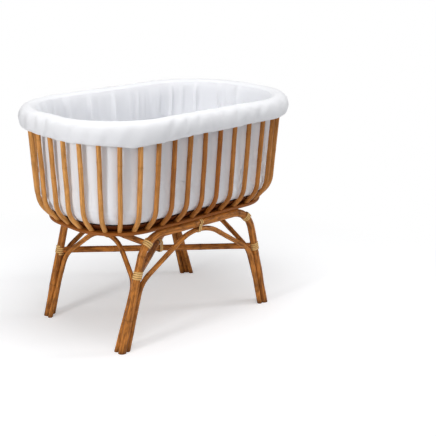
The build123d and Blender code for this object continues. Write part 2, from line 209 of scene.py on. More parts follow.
def mesh_object(name, points, faces, material, **values):
    """A smooth piece with its material and its named values at every point."""
    mesh = bpy.data.meshes.new(name)
    mesh.from_pydata([tuple(point) for point in points], [], faces)
    mesh.polygons.foreach_set("use_smooth", [True] * len(mesh.polygons))
    for value_name, value in values.items():
        value = np.asarray(value, np.float32)
        kind, field = ("FLOAT_VECTOR", "vector") if value.ndim == 2 else ("FLOAT", "value")
        mesh.attributes.new(value_name, kind, "POINT").data.foreach_set(field, value.ravel())
    mesh.materials.append(material)
    mesh.set_sharp_from_angle(angle=sharp_edge)
    piece = bpy.data.objects.new(name, mesh)
    bpy.context.collection.objects.link(piece)
    return piece


def tube_faces(rings, sides):
    """Faces of a tube of rings, with its two ends closed."""
    faces = []
    for ring in range(rings - 1):
        for side in range(sides):
            after = (side + 1) % sides
            low, high = ring * sides, (ring + 1) * sides
            faces.append((low + side, low + after, high + after, high + side))
    faces.append(tuple(reversed(range(sides))))
    faces.append(tuple(range((rings - 1) * sides, rings * sides)))
    return faces


def rattan_pole(name, route, radius, seed, material, cuts, ring_gap=0.19, sides=16, tone=0.5, wander=0.0009):
    """A pole along a route, never quite straight or round, swelling at its growth rings."""
    ring_lip, ring_room, ring_width, ring_swell = 0.003, 0.0035, 0.006, 0.045
    plain_end, steady_end, unevenness, oval_turn = 0.03, 0.06, 0.012, 9
    first_ring, ring_spread = (0.3, 0.8), (0.75, 1.25)
    wave_spans, wave_depths = (0.11, 0.30), (0.4, 1)
    any_side = (0.31, 0.87, 0.38)
    grain_apart = 3.7
    draw = random.Random(seed)
    route = np.array(route)
    walked = np.concatenate([[0], np.cumsum(np.linalg.norm(np.diff(route, axis=0), axis=1))])
    length = walked[-1]
    rings = [draw.uniform(*first_ring) * ring_gap]
    while rings[-1] < length:
        rings.append(rings[-1] + ring_gap * draw.uniform(*ring_spread))
    rings = [ring for ring in rings if plain_end < ring < length - plain_end]
    places = [place for place in walked if min(abs(place - ring) for ring in rings) > ring_room]
    lip_places = [ring + step for ring in rings for step in (-ring_lip, 0, ring_lip)]
    places = np.array(sorted(places + [place for place in lip_places if 0 < place < length]))
    centres = np.stack([np.interp(places, walked, route[:, axis]) for axis in range(3)], axis=1)
    ways = np.gradient(centres, places, axis=0)
    ways /= np.linalg.norm(ways, axis=1)[:, None]
    from_ring = np.min(np.abs(places[:, None] - np.array(rings)[None, :]), axis=1)
    waves = [
        (draw.uniform(*wave_spans), draw.uniform(0, any_phase), draw.uniform(*wave_depths)) for _ in range(4)
    ]
    steady = np.clip(np.minimum(places, length - places) / steady_end, 0, 1)
    swell = 1 + ring_swell * np.exp(-((from_ring / ring_width) ** 2))
    swell += unevenness * np.sin(places * 2 * math.pi / waves[0][0] + waves[0][1])
    side_way = np.cross(ways[0], any_side)
    side_way /= np.linalg.norm(side_way)
    turns = np.linspace(0, 2 * math.pi, sides, endpoint=False)
    points, grain = [], []
    for place, centre, way, hold, size in zip(places, centres, ways, steady, swell):
        side_way = side_way - way * np.dot(side_way, way)
        side_way /= np.linalg.norm(side_way)
        other = np.cross(way, side_way)
        drift = [
            wander * hold * depth * math.sin(place * 2 * math.pi / span + phase)
            for span, phase, depth in waves
        ]
        axis = centre + side_way * (drift[0] + drift[1]) / 2 + other * (drift[2] + drift[3]) / 2
        reach = radius * size * (1 + unevenness * np.cos(2 * turns + waves[1][1] + place * oval_turn))
        sideways = np.outer(reach * np.cos(turns), side_way)
        points.append(axis + sideways + np.outer(reach * np.sin(turns), other))
        along = np.full(sides, place + seed * grain_apart)
        grain.append(np.stack([radius * np.cos(turns), radius * np.sin(turns), along], axis=1))
    points[0] = cuts[0](points[0], -ways[0])
    points[-1] = cuts[1](points[-1], ways[-1])
    total = len(points)
    return mesh_object(
        name,
        np.concatenate(points),
        tube_faces(total, sides),
        material,
        grain=np.concatenate(grain),
        from_ring=np.repeat(from_ring, sides),
        tone=np.full(total * sides, tone),
    )


pole_finish = rattan_skin(
    "lacquered_rattan_pole", frame_light, frame_skin, frame_dark, streaks=0.66, blotches=0.46, rings=0.3
)
on_floor = (sawn_level(0), sawn_level(0))
slope = math.tan(frame_lean)
shoulder = frame_foot - frame_rail * slope
for side, y, seed in (("front", -frame_side, 11), ("back", frame_side, 12)):
    route = bent_route(
        [(-frame_foot, y, 0), (-shoulder, y, frame_rail), (shoulder, y, frame_rail), (frame_foot, y, 0)],
        [frame_bend, frame_bend],
    )
    pole = rattan_pole(f"{side}_bent_frame", route, frame_radius, seed, pole_finish, on_floor)
    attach(pole, "stand")
    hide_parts(f"{side}_u_frame")

# Arches: four thin rattan poles that stand beside the legs, bend over a knee
# and rise to the middle of each rail, where cane binds them to it. Two of them rise to the end rails,
# which start part of the way round the bends of the frames.
arch_radius = 0.00775
arch_step = 0.008
pole_seat = 0.0003
side_arch_slope = math.radians(32)
side_crown_bend = 0.150
side_knee_bend = 0.090
end_arch_slope = math.radians(42)
end_crown_bend = 0.133
end_knee_bend = 0.065
end_arch_toe = 0.004
end_rail_radius = 0.009
end_rail_turn = math.radians(48)
bend_x = shoulder - frame_bend * math.tan((math.pi / 2 - frame_lean) / 2)
bend_z = frame_rail - frame_bend
end_rail_x = bend_x + frame_bend * math.cos(end_rail_turn)
end_rail_z = bend_z + frame_bend * math.sin(end_rail_turn)


def crown_rise(radius, steepness):
    """How far above a round crown the two straight runs beside it would meet."""
    return radius * (1 / math.cos(steepness) - 1)


def arch_pole(name, node, corners, bends, seed):
    """A thin pole bent through its corners, with both feet on the floor, in place of a node."""
    route = bent_route(corners, bends, arch_step)
    arch = rattan_pole(
        name, route, arch_radius, seed, pole_finish, on_floor,
        ring_gap=0.16, sides=12, tone=0.6, wander=0.0004,
    )
    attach(arch, "stand")
    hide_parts(node)


side_arch_below = frame_radius + pole_seat + arch_radius
side_foot = frame_foot - side_arch_below / math.cos(frame_lean)
side_apex = frame_rail - side_arch_below + crown_rise(side_crown_bend, side_arch_slope)
side_rise = math.tan(side_arch_slope)
knee_z = (side_apex - side_rise * side_foot) / (1 - side_rise * slope)
knee_x = side_foot - knee_z * slope
side_arch_bends = [side_knee_bend, side_crown_bend, side_knee_bend]
for side, y, seed in (("front", -frame_side, 21), ("back", frame_side, 22)):
    half = [(-side_foot, y, 0), (-knee_x, y, knee_z)]
    other_half = [(knee_x, y, knee_z), (side_foot, y, 0)]
    corners = half + [(0, y, side_apex)] + other_half
    arch_pole(f"{side}_side_arch", f"{side}_arch", corners, side_arch_bends, seed)

end_arch_below = end_rail_radius + pole_seat + arch_radius
end_foot = frame_foot + end_arch_toe
end_top = end_rail_z - end_arch_below
end_lean = math.atan2(end_foot - end_rail_x, end_top)
end_apex = end_top / math.cos(end_lean) + crown_rise(end_crown_bend, end_arch_slope)
end_leg = frame_side - side_arch_below
end_knee = end_apex - end_leg * math.tan(end_arch_slope)
end_arch_bends = [end_knee_bend, end_crown_bend, end_knee_bend]
across_and_up = [(-end_leg, 0), (-end_leg, end_knee), (0, end_apex), (end_leg, end_knee), (end_leg, 0)]
for side, way, seed in (("left", -1, 23), ("right", 1, 24)):
    up = Vector((-way * math.sin(end_lean), 0, math.cos(end_lean)))
    foot = Vector((way * end_foot, 0, 0))
    corners = [foot + Vector((0, across, 0)) + up * rise for across, rise in across_and_up]
    arch_pole(f"{side}_bent_end_arch", f"{side}_end_arch", corners, end_arch_bends, seed)

# End rails and stretchers: straight rattan poles whose ends are hollowed to fit round the bound legs.
# The end rails join the two frames under the basket, and the stretchers cross between the legs.
# A corner's binding is straight and its pole is bent, so that the hollow there is a little wider.
stretcher_radius = 0.010
low_stretcher = 0.210
high_stretcher = low_stretcher + 2 * stretcher_radius + pole_seat
corner_binding_half = 0.0096
corner_bound = frame_radius + corner_binding_half**2 / 2 / (frame_bend - frame_radius)
cane_room = 0.0027
corner_hollow = corner_bound + cane_room
leg_hollow = frame_radius + cane_room
clear_of_leg = 1.6
straight_step = 0.012


def hollowed(place, axis, radius):
    """A cut of a pole's end to a hollow round another pole."""

    def cut(ring, way):
        level = way - axis * np.dot(way, axis)
        out = ring - place
        out = out - np.outer(out @ axis, axis)
        square = level @ level
        half = out @ level
        reach = (-half - np.sqrt(half**2 - square * (np.sum(out**2, axis=1) - radius**2))) / square
        return ring + np.outer(reach, way)

    return cut


def leg_place(way_x, way_y, height):
    """A point on a leg's centre line, and the leg's direction."""
    place = np.array((way_x * (frame_foot - height * slope), way_y * frame_side, height))
    return place, np.array((-way_x * math.sin(frame_lean), 0, math.cos(frame_lean)))


def corner_place(way_x, way_y):
    """The point on a frame's bend where an end rail meets it, and the bend's direction."""
    place = np.array((way_x * end_rail_x, way_y * frame_side, end_rail_z))
    return place, np.array((-way_x * math.sin(end_rail_turn), 0, math.cos(end_rail_turn)))


def straight_pole(name, node, start, end, radius, hollow, seed):
    """A pole between two other poles."""
    (first, first_axis), (last, last_axis) = start, end
    clear = (last - first) / np.linalg.norm(last - first) * hollow * clear_of_leg
    route = even_points([first + clear, last - clear], straight_step)
    cuts = (hollowed(first, first_axis, hollow), hollowed(last, last_axis, hollow))
    pole = rattan_pole(
        name, route, radius, seed, pole_finish, cuts, ring_gap=0.26, sides=14, tone=0.45, wander=0.0002
    )
    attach(pole, "stand")
    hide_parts(node)


for side, way, seed in (("left", -1, 31), ("right", 1, 32)):
    rail_ends = [corner_place(way, -1), corner_place(way, 1)]
    straight_pole(f"{side}_rail_pole", f"{side}_end_rail", *rail_ends, end_rail_radius, corner_hollow, seed)
low_ends = [leg_place(-1, 1, low_stretcher), leg_place(1, -1, low_stretcher)]
high_ends = [leg_place(-1, -1, high_stretcher), leg_place(1, 1, high_stretcher)]
straight_pole("low_stretcher_pole", "lower_stretcher", *low_ends, stretcher_radius, leg_hollow, 33)
straight_pole("high_stretcher_pole", "upper_stretcher", *high_ends, stretcher_radius, leg_hollow, 34)

# Lashings: strips of split cane, pale and slightly glossy on the rounded outer side,
# wound turn beside turn round the poles at every joint of the stand. Each strip is darkened towards
# its edges with painted shade, in the grooves where the turns lie side by side.
cane_width = 0.0058
cane_thickness = 0.0017
cane_pitch = 0.0063
cane_slack = 0.0005
cane_steps = 36
cane_waver = 0.0002
waver_rate = 0.41
cane_apart = 0.77
cane_profile = [(-1, 0.0), (-0.92, 0.55), (-0.5, 0.95), (0, 1.1), (0.5, 0.95), (0.92, 0.55), (1, 0.0)]
cane_light = (0.95, 0.61, 0.235)
cane_dark = (0.70, 0.35, 0.090)
cane_edge_shade = (0.16, 0.060, 0.016)
crossing_half = (high_stretcher - low_stretcher) / 2
crossing_wide = 0.0080
turns_on_leg = 4
turns_on_corner = 3
turns_on_crossing = 2
turns_on_arch = 2

cane_finish, start = finish_named("split_cane")
grain = start.attribute("grain", 1)
fibre = start.ramp(start.noise(start.stretched(grain, (1500, 1500, 14)), 2), (0.35, 0), (0.68, 1))
patch = start.ramp(start.noise(start.stretched(grain, (120, 120, 22)), 3), (0.38, 0), (0.72, 1))
edge = start.attribute("edge", 2)
cane_colour = start.tint(fibre * 0.35 + patch * 0.45, cane_light, cane_dark)
# Painted shade: the strip darkens towards both edges, where neighbouring turns meet.
cane_colour = start.tint(edge * 0.75, cane_colour, cane_edge_shade)
start.surface(
    Base_Color=cane_colour,
    Roughness=0.34 + patch * 0.2,
    Specular_IOR_Level=0.3,
    Normal=start.bump(fibre, 0.00015, 0.5),
)


def winding(place, axis, across, holds, turns, seed):
    """Points, faces and values of a strip wound round the poles that it holds, along an axis."""
    draw = random.Random(seed)
    axis = np.array(axis, float)
    across = np.array(across, float)
    over = np.cross(axis, across)
    angle_at = draw.uniform(0, any_phase)
    places = []
    for step in range(turns * cane_steps + 1):
        angle = angle_at + step * 2 * math.pi / cane_steps
        out = np.array((math.cos(angle), math.sin(angle)))
        u, v, radius = max(holds, key=lambda hold: hold[0] * out[0] + hold[1] * out[1] + hold[2])
        spot = np.array((u, v)) + out * (radius + cane_slack)
        climb = cane_pitch * (step / cane_steps - turns / 2) + cane_waver * math.sin(step * waver_rate + seed)
        outward = across * out[0] + over * out[1]
        places.append((place + across * spot[0] + over * spot[1] + axis * climb, outward))
    half = cane_width / 2
    points, grain, edge = [], [], []
    walked = seed * cane_apart
    before = places[0][0]
    for spot, outward in places:
        walked += np.linalg.norm(spot - before)
        before = spot
        for sideways, rise in cane_profile:
            points.append(spot + axis * sideways * half + outward * rise * cane_thickness)
            grain.append((sideways * half, rise * cane_thickness, walked))
            edge.append(abs(sideways) ** 3)
    return points, tube_faces(len(places), len(cane_profile)), grain, edge


def lashings(name, node, bindings):
    """One piece of several windings, in place of a node."""
    points, faces, grain, edge = [], [], [], []
    for binding in bindings:
        more_points, more_faces, more_grain, more_edge = winding(*binding)
        faces += [tuple(corner + len(points) for corner in face) for face in more_faces]
        points += more_points
        grain += more_grain
        edge += more_edge
    piece = mesh_object(name, points, faces, cane_finish, grain=grain, edge=edge)
    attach(piece, "stand")
    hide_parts(node)


leg_hold = [(0, 0, frame_radius)]
legs = low_ends + high_ends
ends = [(*leg, (0, 1, 0), leg_hold, turns_on_leg, 41 + index) for index, leg in enumerate(legs)]
crossing_hold = [
    (u, v, stretcher_radius) for u in (-crossing_wide, crossing_wide) for v in (-crossing_half, crossing_half)
]
crossing_z = low_stretcher + crossing_half
crossing = np.array((0, 0, crossing_z))
ends.append((crossing, (1, 0, 0), (0, 1, 0), crossing_hold, turns_on_crossing, 46))
lashings("stretcher_bindings", "stretcher_lashings", ends)
corner_hold = [(0, 0, corner_bound)]
corners = [corner_place(way_x, way_y) for way_x in (-1, 1) for way_y in (-1, 1)]
corner_bindings = [
    (*corner, (0, 1, 0), corner_hold, turns_on_corner, 51 + index) for index, corner in enumerate(corners)
]
lashings("corner_bindings", "corner_lashings", corner_bindings)
side_hold = [(0, 0, frame_radius), (0, -side_arch_below, arch_radius)]
end_hold = [(0, 0, end_rail_radius), (0, -end_arch_below, arch_radius)]
tops = [
    (np.array((0, y, frame_rail)), (1, 0, 0), (0, 1, 0), side_hold, turns_on_arch, 61 + index)
    for index, y in enumerate((-frame_side, frame_side))
]
tops += [
    (np.array((x, 0, end_rail_z)), (0, 1, 0), (-1, 0, 0), end_hold, turns_on_arch, 65 + index)
    for index, x in enumerate((-end_rail_x, end_rail_x))
]
lashings("arch_bindings", "arch_lashings", tops)

# Foot hoop and band: bent wooden rings under the basket. The spindles stand on the round-edged hoop,
# and their feet lean on the bevelled band that is fixed on it behind them. The band's dark colours are
# painted shade, for it lies in shade under the liner, behind the spindles.
core_x = 0.198
core_y = 0.040
rim_line = 0.21173
hoop_inner = 0.1348
hoop_height = 0.011
hoop_bottom = frame_rail + frame_radius + pole_seat
hoop_top = hoop_bottom + hoop_height
hoop_section = [
    (0, 0.0015), (0.0004, 0.0004), (0.0015, 0), (0.0192, 0), (0.0220, 0.0009), (0.0235, 0.0031),
    (0.0239, 0.0055), (0.0235, 0.0079), (0.0220, 0.0101), (0.0192, hoop_height), (0.0015, hoop_height),
    (0.0004, 0.0107), (0, 0.0095),
]
band_section = [
    (0.0002, 0.0002), (0.0019, 0.0002), (0.0026, 0.0007), (0.0215, 0.0193), (0.0217, 0.0198),
    (0.0212, 0.0200), (0.0005, 0.0200), (0, 0.0196), (0, 0.0006),
]
hoop_light = (0.44, 0.140, 0.020)
hoop_dark = (0.13, 0.032, 0.004)
# Painted shade: the band is coloured far darker than the hoop, standing in for the shade under the liner.
shaded_band_light = (0.17, 0.038, 0.005)
shaded_band_dark = (0.045, 0.009, 0.0015)


def basket_station(share):
    """Core point and outward direction, a share of the way round the basket from the middle of the front."""
    quarter_arc = math.pi / 2 * rim_line
    quarter_run = core_x + quarter_arc + core_y
    quarter, run = divmod(share % 1 * 4 * quarter_run, quarter_run)
    quarter = int(quarter) % 4
    if quarter % 2:
        run = quarter_run - run
    turn = min(max((run - core_x) / rim_line, 0), math.pi / 2)
    x, y = min(run, core_x), max(run - core_x - quarter_arc, 0) - core_y
    flip_x = -1 if quarter in (2, 3) else 1
    flip_y = -1 if quarter in (1, 2) else 1
    return (x * flip_x, y * flip_y), (math.sin(turn) * flip_x, -math.cos(turn) * flip_y)


def all_round(profile, stations):
    """The radii and the heights of a profile, repeated at every station."""
    radii, heights = np.array(profile).T
    return np.tile(radii, (stations, 1)), np.tile(heights, (stations, 1))


def basket_ring(name, radii, heights, material, closed=True, filled=()):
    """A ring round the basket from radii and heights, given for each station and place on its profile.

    An open profile may have the outlines at some of its places filled.
    """
    stations, places = radii.shape
    points, grain = [], []
    run = np.concatenate([[0], np.cumsum(np.hypot(np.diff(radii[0]), np.diff(heights[0])))])
    around = 4 * (core_x + math.pi / 2 * rim_line + core_y)
    for station in range(stations):
        (x, y), (out_x, out_y) = basket_station(station / stations)
        for place in range(places):
            radius = radii[station, place]
            points.append((x + out_x * radius, y + out_y * radius, heights[station, place]))
            grain.append((run[place], 0, around * station / stations))
    faces = []
    for station in range(stations):
        here, there = station * places, (station + 1) % stations * places
        for place in range(places if closed else places - 1):
            after = (place + 1) % places
            faces.append((here + place, there + place, there + after, here + after))
    for place in filled:
        outline = [station * places + place % places for station in range(stations)]
        faces.append(tuple(outline if place else reversed(outline)))
    return mesh_object(name, points, faces, material, grain=grain)


def bent_wood(name, light, dark):
    """Bent wood with its grain along the ring, lacquered."""
    material, start = finish_named(name)
    grain = start.attribute("grain", 1)
    fibre = start.ramp(start.noise(start.stretched(grain, (620, 620, 7)), 3), (0.34, 0), (0.68, 1))
    cloud = start.ramp(start.noise(start.stretched(grain, (40, 40, 6)), 3), (0.36, 0), (0.70, 1))
    start.surface(
        Base_Color=start.tint(fibre * 0.55 + cloud * 0.3, light, dark),
        Roughness=0.36 + fibre * 0.15,
        Specular_IOR_Level=0.2,
        Normal=start.bump(fibre, 0.0003, 0.5),
    )
    return material


def plain_ring(name, node, section, bottom, material, stations=144):
    """A ring with one section all round, set on the hoop's inner line, in place of a node."""
    profile = [(hoop_inner + out, bottom + up) for out, up in section]
    ring = basket_ring(name, *all_round(profile, stations), material)
    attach(ring, "basket")
    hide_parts(node)


hoop_wood = bent_wood("hoop_wood", hoop_light, hoop_dark)
plain_ring("bent_foot_hoop", "foot_hoop", hoop_section, hoop_bottom, hoop_wood)
shaded_band_wood = bent_wood("shaded_band_wood", shaded_band_light, shaded_band_dark)
plain_ring("bevelled_base_band", "base_band", band_section, hoop_top, shaded_band_wood)

# Slats and rim: sawn slats across the foot of the basket carry the mattress, and a flat bent strip
# inside the spindle tops holds the rim in shape under the padded cuff.
slat_light = (0.60, 0.40, 0.21)
slat_dark = (0.34, 0.19, 0.085)
slat_stretch = (260, 8, 260)
rim_stretch = (30, 30, 420)
eased_width = 0.0012


def sawn_wood(name, stretch):
    """Plain sawn wood, its grain longest where the stretch is least."""
    material, start = finish_named(name)
    place = start.node("ShaderNodeTexCoord", {}, {}, "Object")
    fibre = start.ramp(start.noise(start.stretched(place, stretch), 4), (0.34, 0), (0.70, 1))
    cloud = start.ramp(start.noise(start.stretched(place, (14, 9, 14)), 3), (0.36, 0), (0.70, 1))
    start.surface(
        Base_Color=start.tint(fibre * 0.6 + cloud * 0.3, slat_light, slat_dark),
        Roughness=0.55 + fibre * 0.15,
        Normal=start.bump(fibre, 0.0004, 0.5),
    )
    return material


for node, stretch in (("base_slats", slat_stretch), ("top_rim", rim_stretch)):
    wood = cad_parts[node]
    wood.data.materials.clear()
    wood.data.materials.append(sawn_wood(f"{node}_wood", stretch))
    eased = wood.modifiers.new("eased_edges", "BEVEL")
    eased.width = eased_width
    eased.segments = 2
    eased.limit_method = "ANGLE"

# Spindles: thirty-eight slim rattan canes, straight above and bent in below to stand on the hoop.
# No two are quite alike in thickness or colour, and painted light makes those at the ends of the basket
# the lightest, where the lamps fall on them, while the long sides keep the darker tone.
spindle_count = 38
spindle_radius = 0.0073
spindle_top = 0.690
spindle_lean = math.radians(4)
spindle_bend = 0.080
foot_tilt = math.radians(45)
foot_run = 0.033
spindle_light = (0.90, 0.44, 0.125)
spindle_skin = (0.43, 0.125, 0.014)
spindle_dark = (0.085, 0.016, 0.001)
front_tone = 0.1
end_painted_light = 0.75
tone_spread = 0.15
thickness_spread = (0.96, 1.04)
basket_half = 0.41
spindle_step = 0.0095
spindle_finish = rattan_skin(
    "lacquered_spindle", spindle_light, spindle_skin, spindle_dark, streaks=0.42, blotches=0.18, rings=0.12
)
bend_reach = spindle_bend * math.tan((foot_tilt - spindle_lean) / 2)
knee_height = hoop_top + (foot_run + bend_reach) * math.cos(foot_tilt)
knee_radius = rim_line - (spindle_top - knee_height) * math.tan(spindle_lean)
foot_radius = knee_radius - (knee_height - hoop_top) * math.tan(foot_tilt)
spindle_stops = [(rim_line, spindle_top), (knee_radius, knee_height), (foot_radius, hoop_top)]
spindle_cuts = (sawn_level(spindle_top), sawn_level(hoop_top))
shade = random.Random(7)
for number in range(spindle_count):
    (x, y), (out_x, out_y) = basket_station((number + 0.5) / spindle_count)
    corners = [(x + out_x * radius, y + out_y * radius, height) for radius, height in spindle_stops]
    route = bent_route(corners, [spindle_bend], spindle_step)
    # Painted light: the tone rises towards the ends of the basket, on top of each spindle's own random tone.
    tone = front_tone + end_painted_light * abs(corners[0][0]) / basket_half + shade.uniform(-tone_spread, tone_spread)
    radius = spindle_radius * shade.uniform(*thickness_spread)
    spindle = rattan_pole(
        f"spindle_cane_{number + 1:02d}", route, radius, 100 + number, spindle_finish, spindle_cuts,
        ring_gap=0.23, sides=10, tone=max(tone, 0), wander=0.0007,
    )
    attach(spindle, "basket")
    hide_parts(f"spindle_{number + 1:02d}")

# Liner bag: white cotton sewn to the basket's shape, a floor panel and a wall that hangs from the rim.
# It lies on the slats, steps out over the band, bends round the spindles' own centre
# and hangs inside them in soft upright folds.
bag_white = (0.895, 0.91, 0.945)
bag_shade = (0.815, 0.83, 0.87)
bag_stations = 228
bag_floor = 0.3586
bag_bend = 0.0680
bag_bend_angles = (56, 4)
bag_top = (0.1897, 0.6895)
bag_middle = 0.5
fold_depth = 0.014
fold_twist = 5
fold_spread, flat_share, fold_sharpness = 3.0, 0.15, 1.3
crease_depth = 0.0045
crease_spread = 2.8
bulge_sharpness = 1.4
bulges = (0.0012, 0.0046)
folds_from, folds_fade_in = 0.388, 0.03
folds_to, folds_fade_out = 0.565, 0.08
loose_to, loose_fade_out = 0.672, 0.05
bag_thickness = 0.0012


def cotton(name, white, shade, slub=0.35):
    """Plain white cotton: a fine weave, thicker threads here and there, and soft creases."""
    material, start = finish_named(name)
    grain = start.attribute("grain", 1)
    threads = [
        start.node(
            "ShaderNodeTexWave",
            {"wave_type": "BANDS", "bands_direction": way},
            {"Vector": grain, "Scale": 260.0, "Distortion": 0.6, "Detail": 1.0},
            1,
        )
        for way in ("X", "Z")
    ]
    weave = threads[0] * threads[1]
    thick = start.ramp(start.noise(start.stretched(grain, (900, 1, 40)), 2), (0.52, 0), (0.72, 1))
    crease = start.noise(start.stretched(grain, (22, 22, 30)), 3)
    cloud = start.ramp(start.noise(start.stretched(grain, (9, 9, 7)), 3), (0.35, 0), (0.70, 1))
    start.surface(
        Base_Color=start.tint(cloud * 0.35 + weave * 0.12, white, shade),
        Roughness=0.82 + thick * 0.1,
        Sheen_Weight=0.25,
        Sheen_Roughness=0.5,
        Normal=start.bump(weave * 0.25 + thick * slub + crease * 3.0, 0.0006, 0.55),
    )
    return material


def drawn_waves(draw, total, counts, third):
    """Waves round the basket: each a count, a phase, and a third value, which is its depth or its slant."""
    return [(draw.randint(*counts), draw.uniform(0, any_phase), draw.uniform(*third)) for _ in range(total)]


def upright_folds(waves, share, rise=0, twist=0):
    """The depth of upright folds at a place, each of which winds a little as it rises."""
    return sum(
        depth * math.sin(2 * math.pi * share * count + phase + twist * rise * math.sin(count))
        for count, phase, depth in waves
    )


def slanting_creases(waves, share, rise):
    """The depth of creases that cross each other at a place."""
    return sum(math.sin(2 * math.pi * share * count + phase + slant * rise) for count, phase, slant in waves)


def within_one(value):
    """A share, held between nothing and the whole."""
    return min(max(value, 0), 1)


bag_profile = [
    (0.020, bag_floor), (0.070, bag_floor), (0.110, bag_floor), (0.1255, bag_floor + 0.0002),
    (0.1286, bag_floor + 0.0012), (0.1294, bag_floor + 0.004), (0.1295, 0.372), (0.1296, 0.3805),
    (0.1306, 0.3836), (0.1340, 0.3845), (0.1460, 0.3847),
]
lean_across, lean_up = math.sin(spindle_lean), math.cos(spindle_lean)
centre_radius = knee_radius + bend_reach * lean_across - spindle_bend * lean_up
centre_height = knee_height + bend_reach * lean_up + spindle_bend * lean_across
for angle in np.linspace(*bag_bend_angles, 12):
    turn = math.radians(angle)
    bag_profile.append((centre_radius + bag_bend * math.cos(turn), centre_height - bag_bend * math.sin(turn)))
wall_low, wall_high = np.array(bag_profile[-1]), np.array(bag_top)
bag_profile += [tuple(wall_low + (wall_high - wall_low) * part) for part in np.linspace(0, 1, 20)[1:]]
bag_radii, bag_heights = all_round(bag_profile, bag_stations)
draw = random.Random(3)
fold_waves = drawn_waves(draw, total=9, counts=(9, 47), third=(0.3, 1.0))
crease_waves = drawn_waves(draw, total=8, counts=(6, 40), third=(60, 190))
looseness = [draw.uniform(*bulges) for _ in range(spindle_count)]
for station in range(bag_stations):
    share = station / bag_stations
    between = looseness[round(share * spindle_count) % spindle_count]
    swell = (0.5 + 0.5 * math.cos(2 * math.pi * share * spindle_count)) ** bulge_sharpness
    for place, (radius, height) in enumerate(bag_profile):
        low = within_one((height - folds_from) / folds_fade_in)
        high = within_one((folds_to - height) / folds_fade_out)
        free = within_one((loose_to - height) / loose_fade_out)
        rise = height - bag_middle
        inward = max(0, upright_folds(fold_waves, share, rise, fold_twist) / fold_spread - flat_share)
        crease = max(0, slanting_creases(crease_waves, share, rise) / crease_spread)
        drawn_in = fold_depth * inward**fold_sharpness + crease_depth * crease
        bag_radii[station, place] += low * (free * between * swell - high * drawn_in)
cotton_liner = cotton("liner_cotton", bag_white, bag_shade)
bag = basket_ring("cotton_liner_bag", bag_radii, bag_heights, cotton_liner, closed=False, filled=(0,))
cloth_body = bag.modifiers.new("cloth_thickness", "SOLIDIFY")
cloth_body.thickness = bag_thickness
cloth_body.offset = 0
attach(bag, "liner")
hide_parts("liner_bag")

# Padded cuff: a tube of white cotton filled with wadding, folded over the rim. Its outer hem hangs outside
# the spindles, with a low point at the near corner, and its inner edge thins out in gathers down the bag.
cuff_stations = 456
cuff_inner = 0.2199
cuff_outer = [
    (0.2224, 0.6382), (0.2272, 0.6394), (0.2312, 0.6430), (0.2343, 0.6500), (0.2358, 0.6580),
    (0.2362, 0.6660), (0.2352, 0.6745), (0.2330, 0.6825), (0.2295, 0.6895), (0.2245, 0.6950),
    (0.2180, 0.6990), (0.2105, 0.7008), (0.2030, 0.7005), (0.1960, 0.6980), (0.1905, 0.6935),
    (0.1872, 0.6870), (0.1852, 0.6790), (0.1840, 0.6690), (0.1832, 0.6590), (0.1828, 0.6490),
    (0.1828, 0.6380), (0.1829, 0.6260), (0.1830, 0.6140), (0.1831, 0.6020), (0.1833, 0.5900),
    (0.1837, 0.5800),
]
cuff_channel = [
    (0.1846, 0.5780), (0.1854, 0.6000), (0.1861, 0.6250), (0.1869, 0.6500), (0.1875, 0.6750),
    (0.1879, 0.6905), (0.1900, 0.6910), (0.2040, 0.6910), (0.2180, 0.6910), (cuff_inner, 0.6905),
    (cuff_inner, 0.6750), (cuff_inner, 0.6600), (cuff_inner, 0.6460), (cuff_inner, 0.6386),
]
cuff_profile = cuff_outer + cuff_channel
cuff_places = len(cuff_profile)
crown_place = 11
first_inner_seam = 14
# Painted shade: the cuff's cotton is the liner's white cotton made darker, for the cuff stands in brighter
# light than the inside of the liner.
cuff_shaded_white = (0.85, 0.855, 0.88)
cuff_shaded_grey = (0.77, 0.78, 0.81)
hem_dip = 0.012
dip_share = 0.871
dip_width = 0.032
hem_waver = 0.0012
hem_from, hem_fall = 0.690, 0.052
outside_from = 0.2195
wrinkle_depth = 0.0009
wrinkles_from, wrinkles_fall, wrinkle_middle = 0.697, 0.062, 0.66
gather_depth = 0.0090
gathers_from, gathers_fall, gather_middle = 0.694, 0.045, 0.65
gather_twist = 9
gather_spread, gather_sharpness = 3.2, 1.2
tuck_below = 0.61
cuff_give = 0.0025
filling_pressure = 4
cloth_growth = 0.03
settling_frames = 20


def plumped(piece, sewn, give):
    """Lets a padded piece swell on its filling between its sewn points, moving no further than its give."""
    mesh = piece.data
    before = np.empty(len(mesh.vertices) * 3)
    mesh.vertices.foreach_get("co", before)
    seams = piece.vertex_groups.new(name="sewn")
    seams.add([int(point) for point in sewn], 1.0, "REPLACE")
    cloth = piece.modifiers.new("swelling", "CLOTH")
    cloth.settings.vertex_group_mass = "sewn"
    cloth.settings.use_pressure = True
    cloth.settings.uniform_pressure_force = filling_pressure
    cloth.settings.shrink_min = -cloth_growth
    cloth.settings.effector_weights.gravity = 0
    for moment in range(1, settling_frames + 1):
        bpy.context.scene.frame_set(moment)
    swollen = piece.evaluated_get(bpy.context.evaluated_depsgraph_get()).data
    after = np.empty(len(swollen.vertices) * 3)
    swollen.vertices.foreach_get("co", after)
    piece.modifiers.remove(cloth)
    piece.vertex_groups.remove(seams)
    bpy.context.scene.frame_set(1)
    moved = (after - before).reshape(-1, 3)
    reach = np.linalg.norm(moved, axis=1)[:, None]
    moved *= give * np.tanh(reach / give) / np.maximum(reach, 1e-9)
    mesh.vertices.foreach_set("co", before + moved.ravel())
    mesh.update()


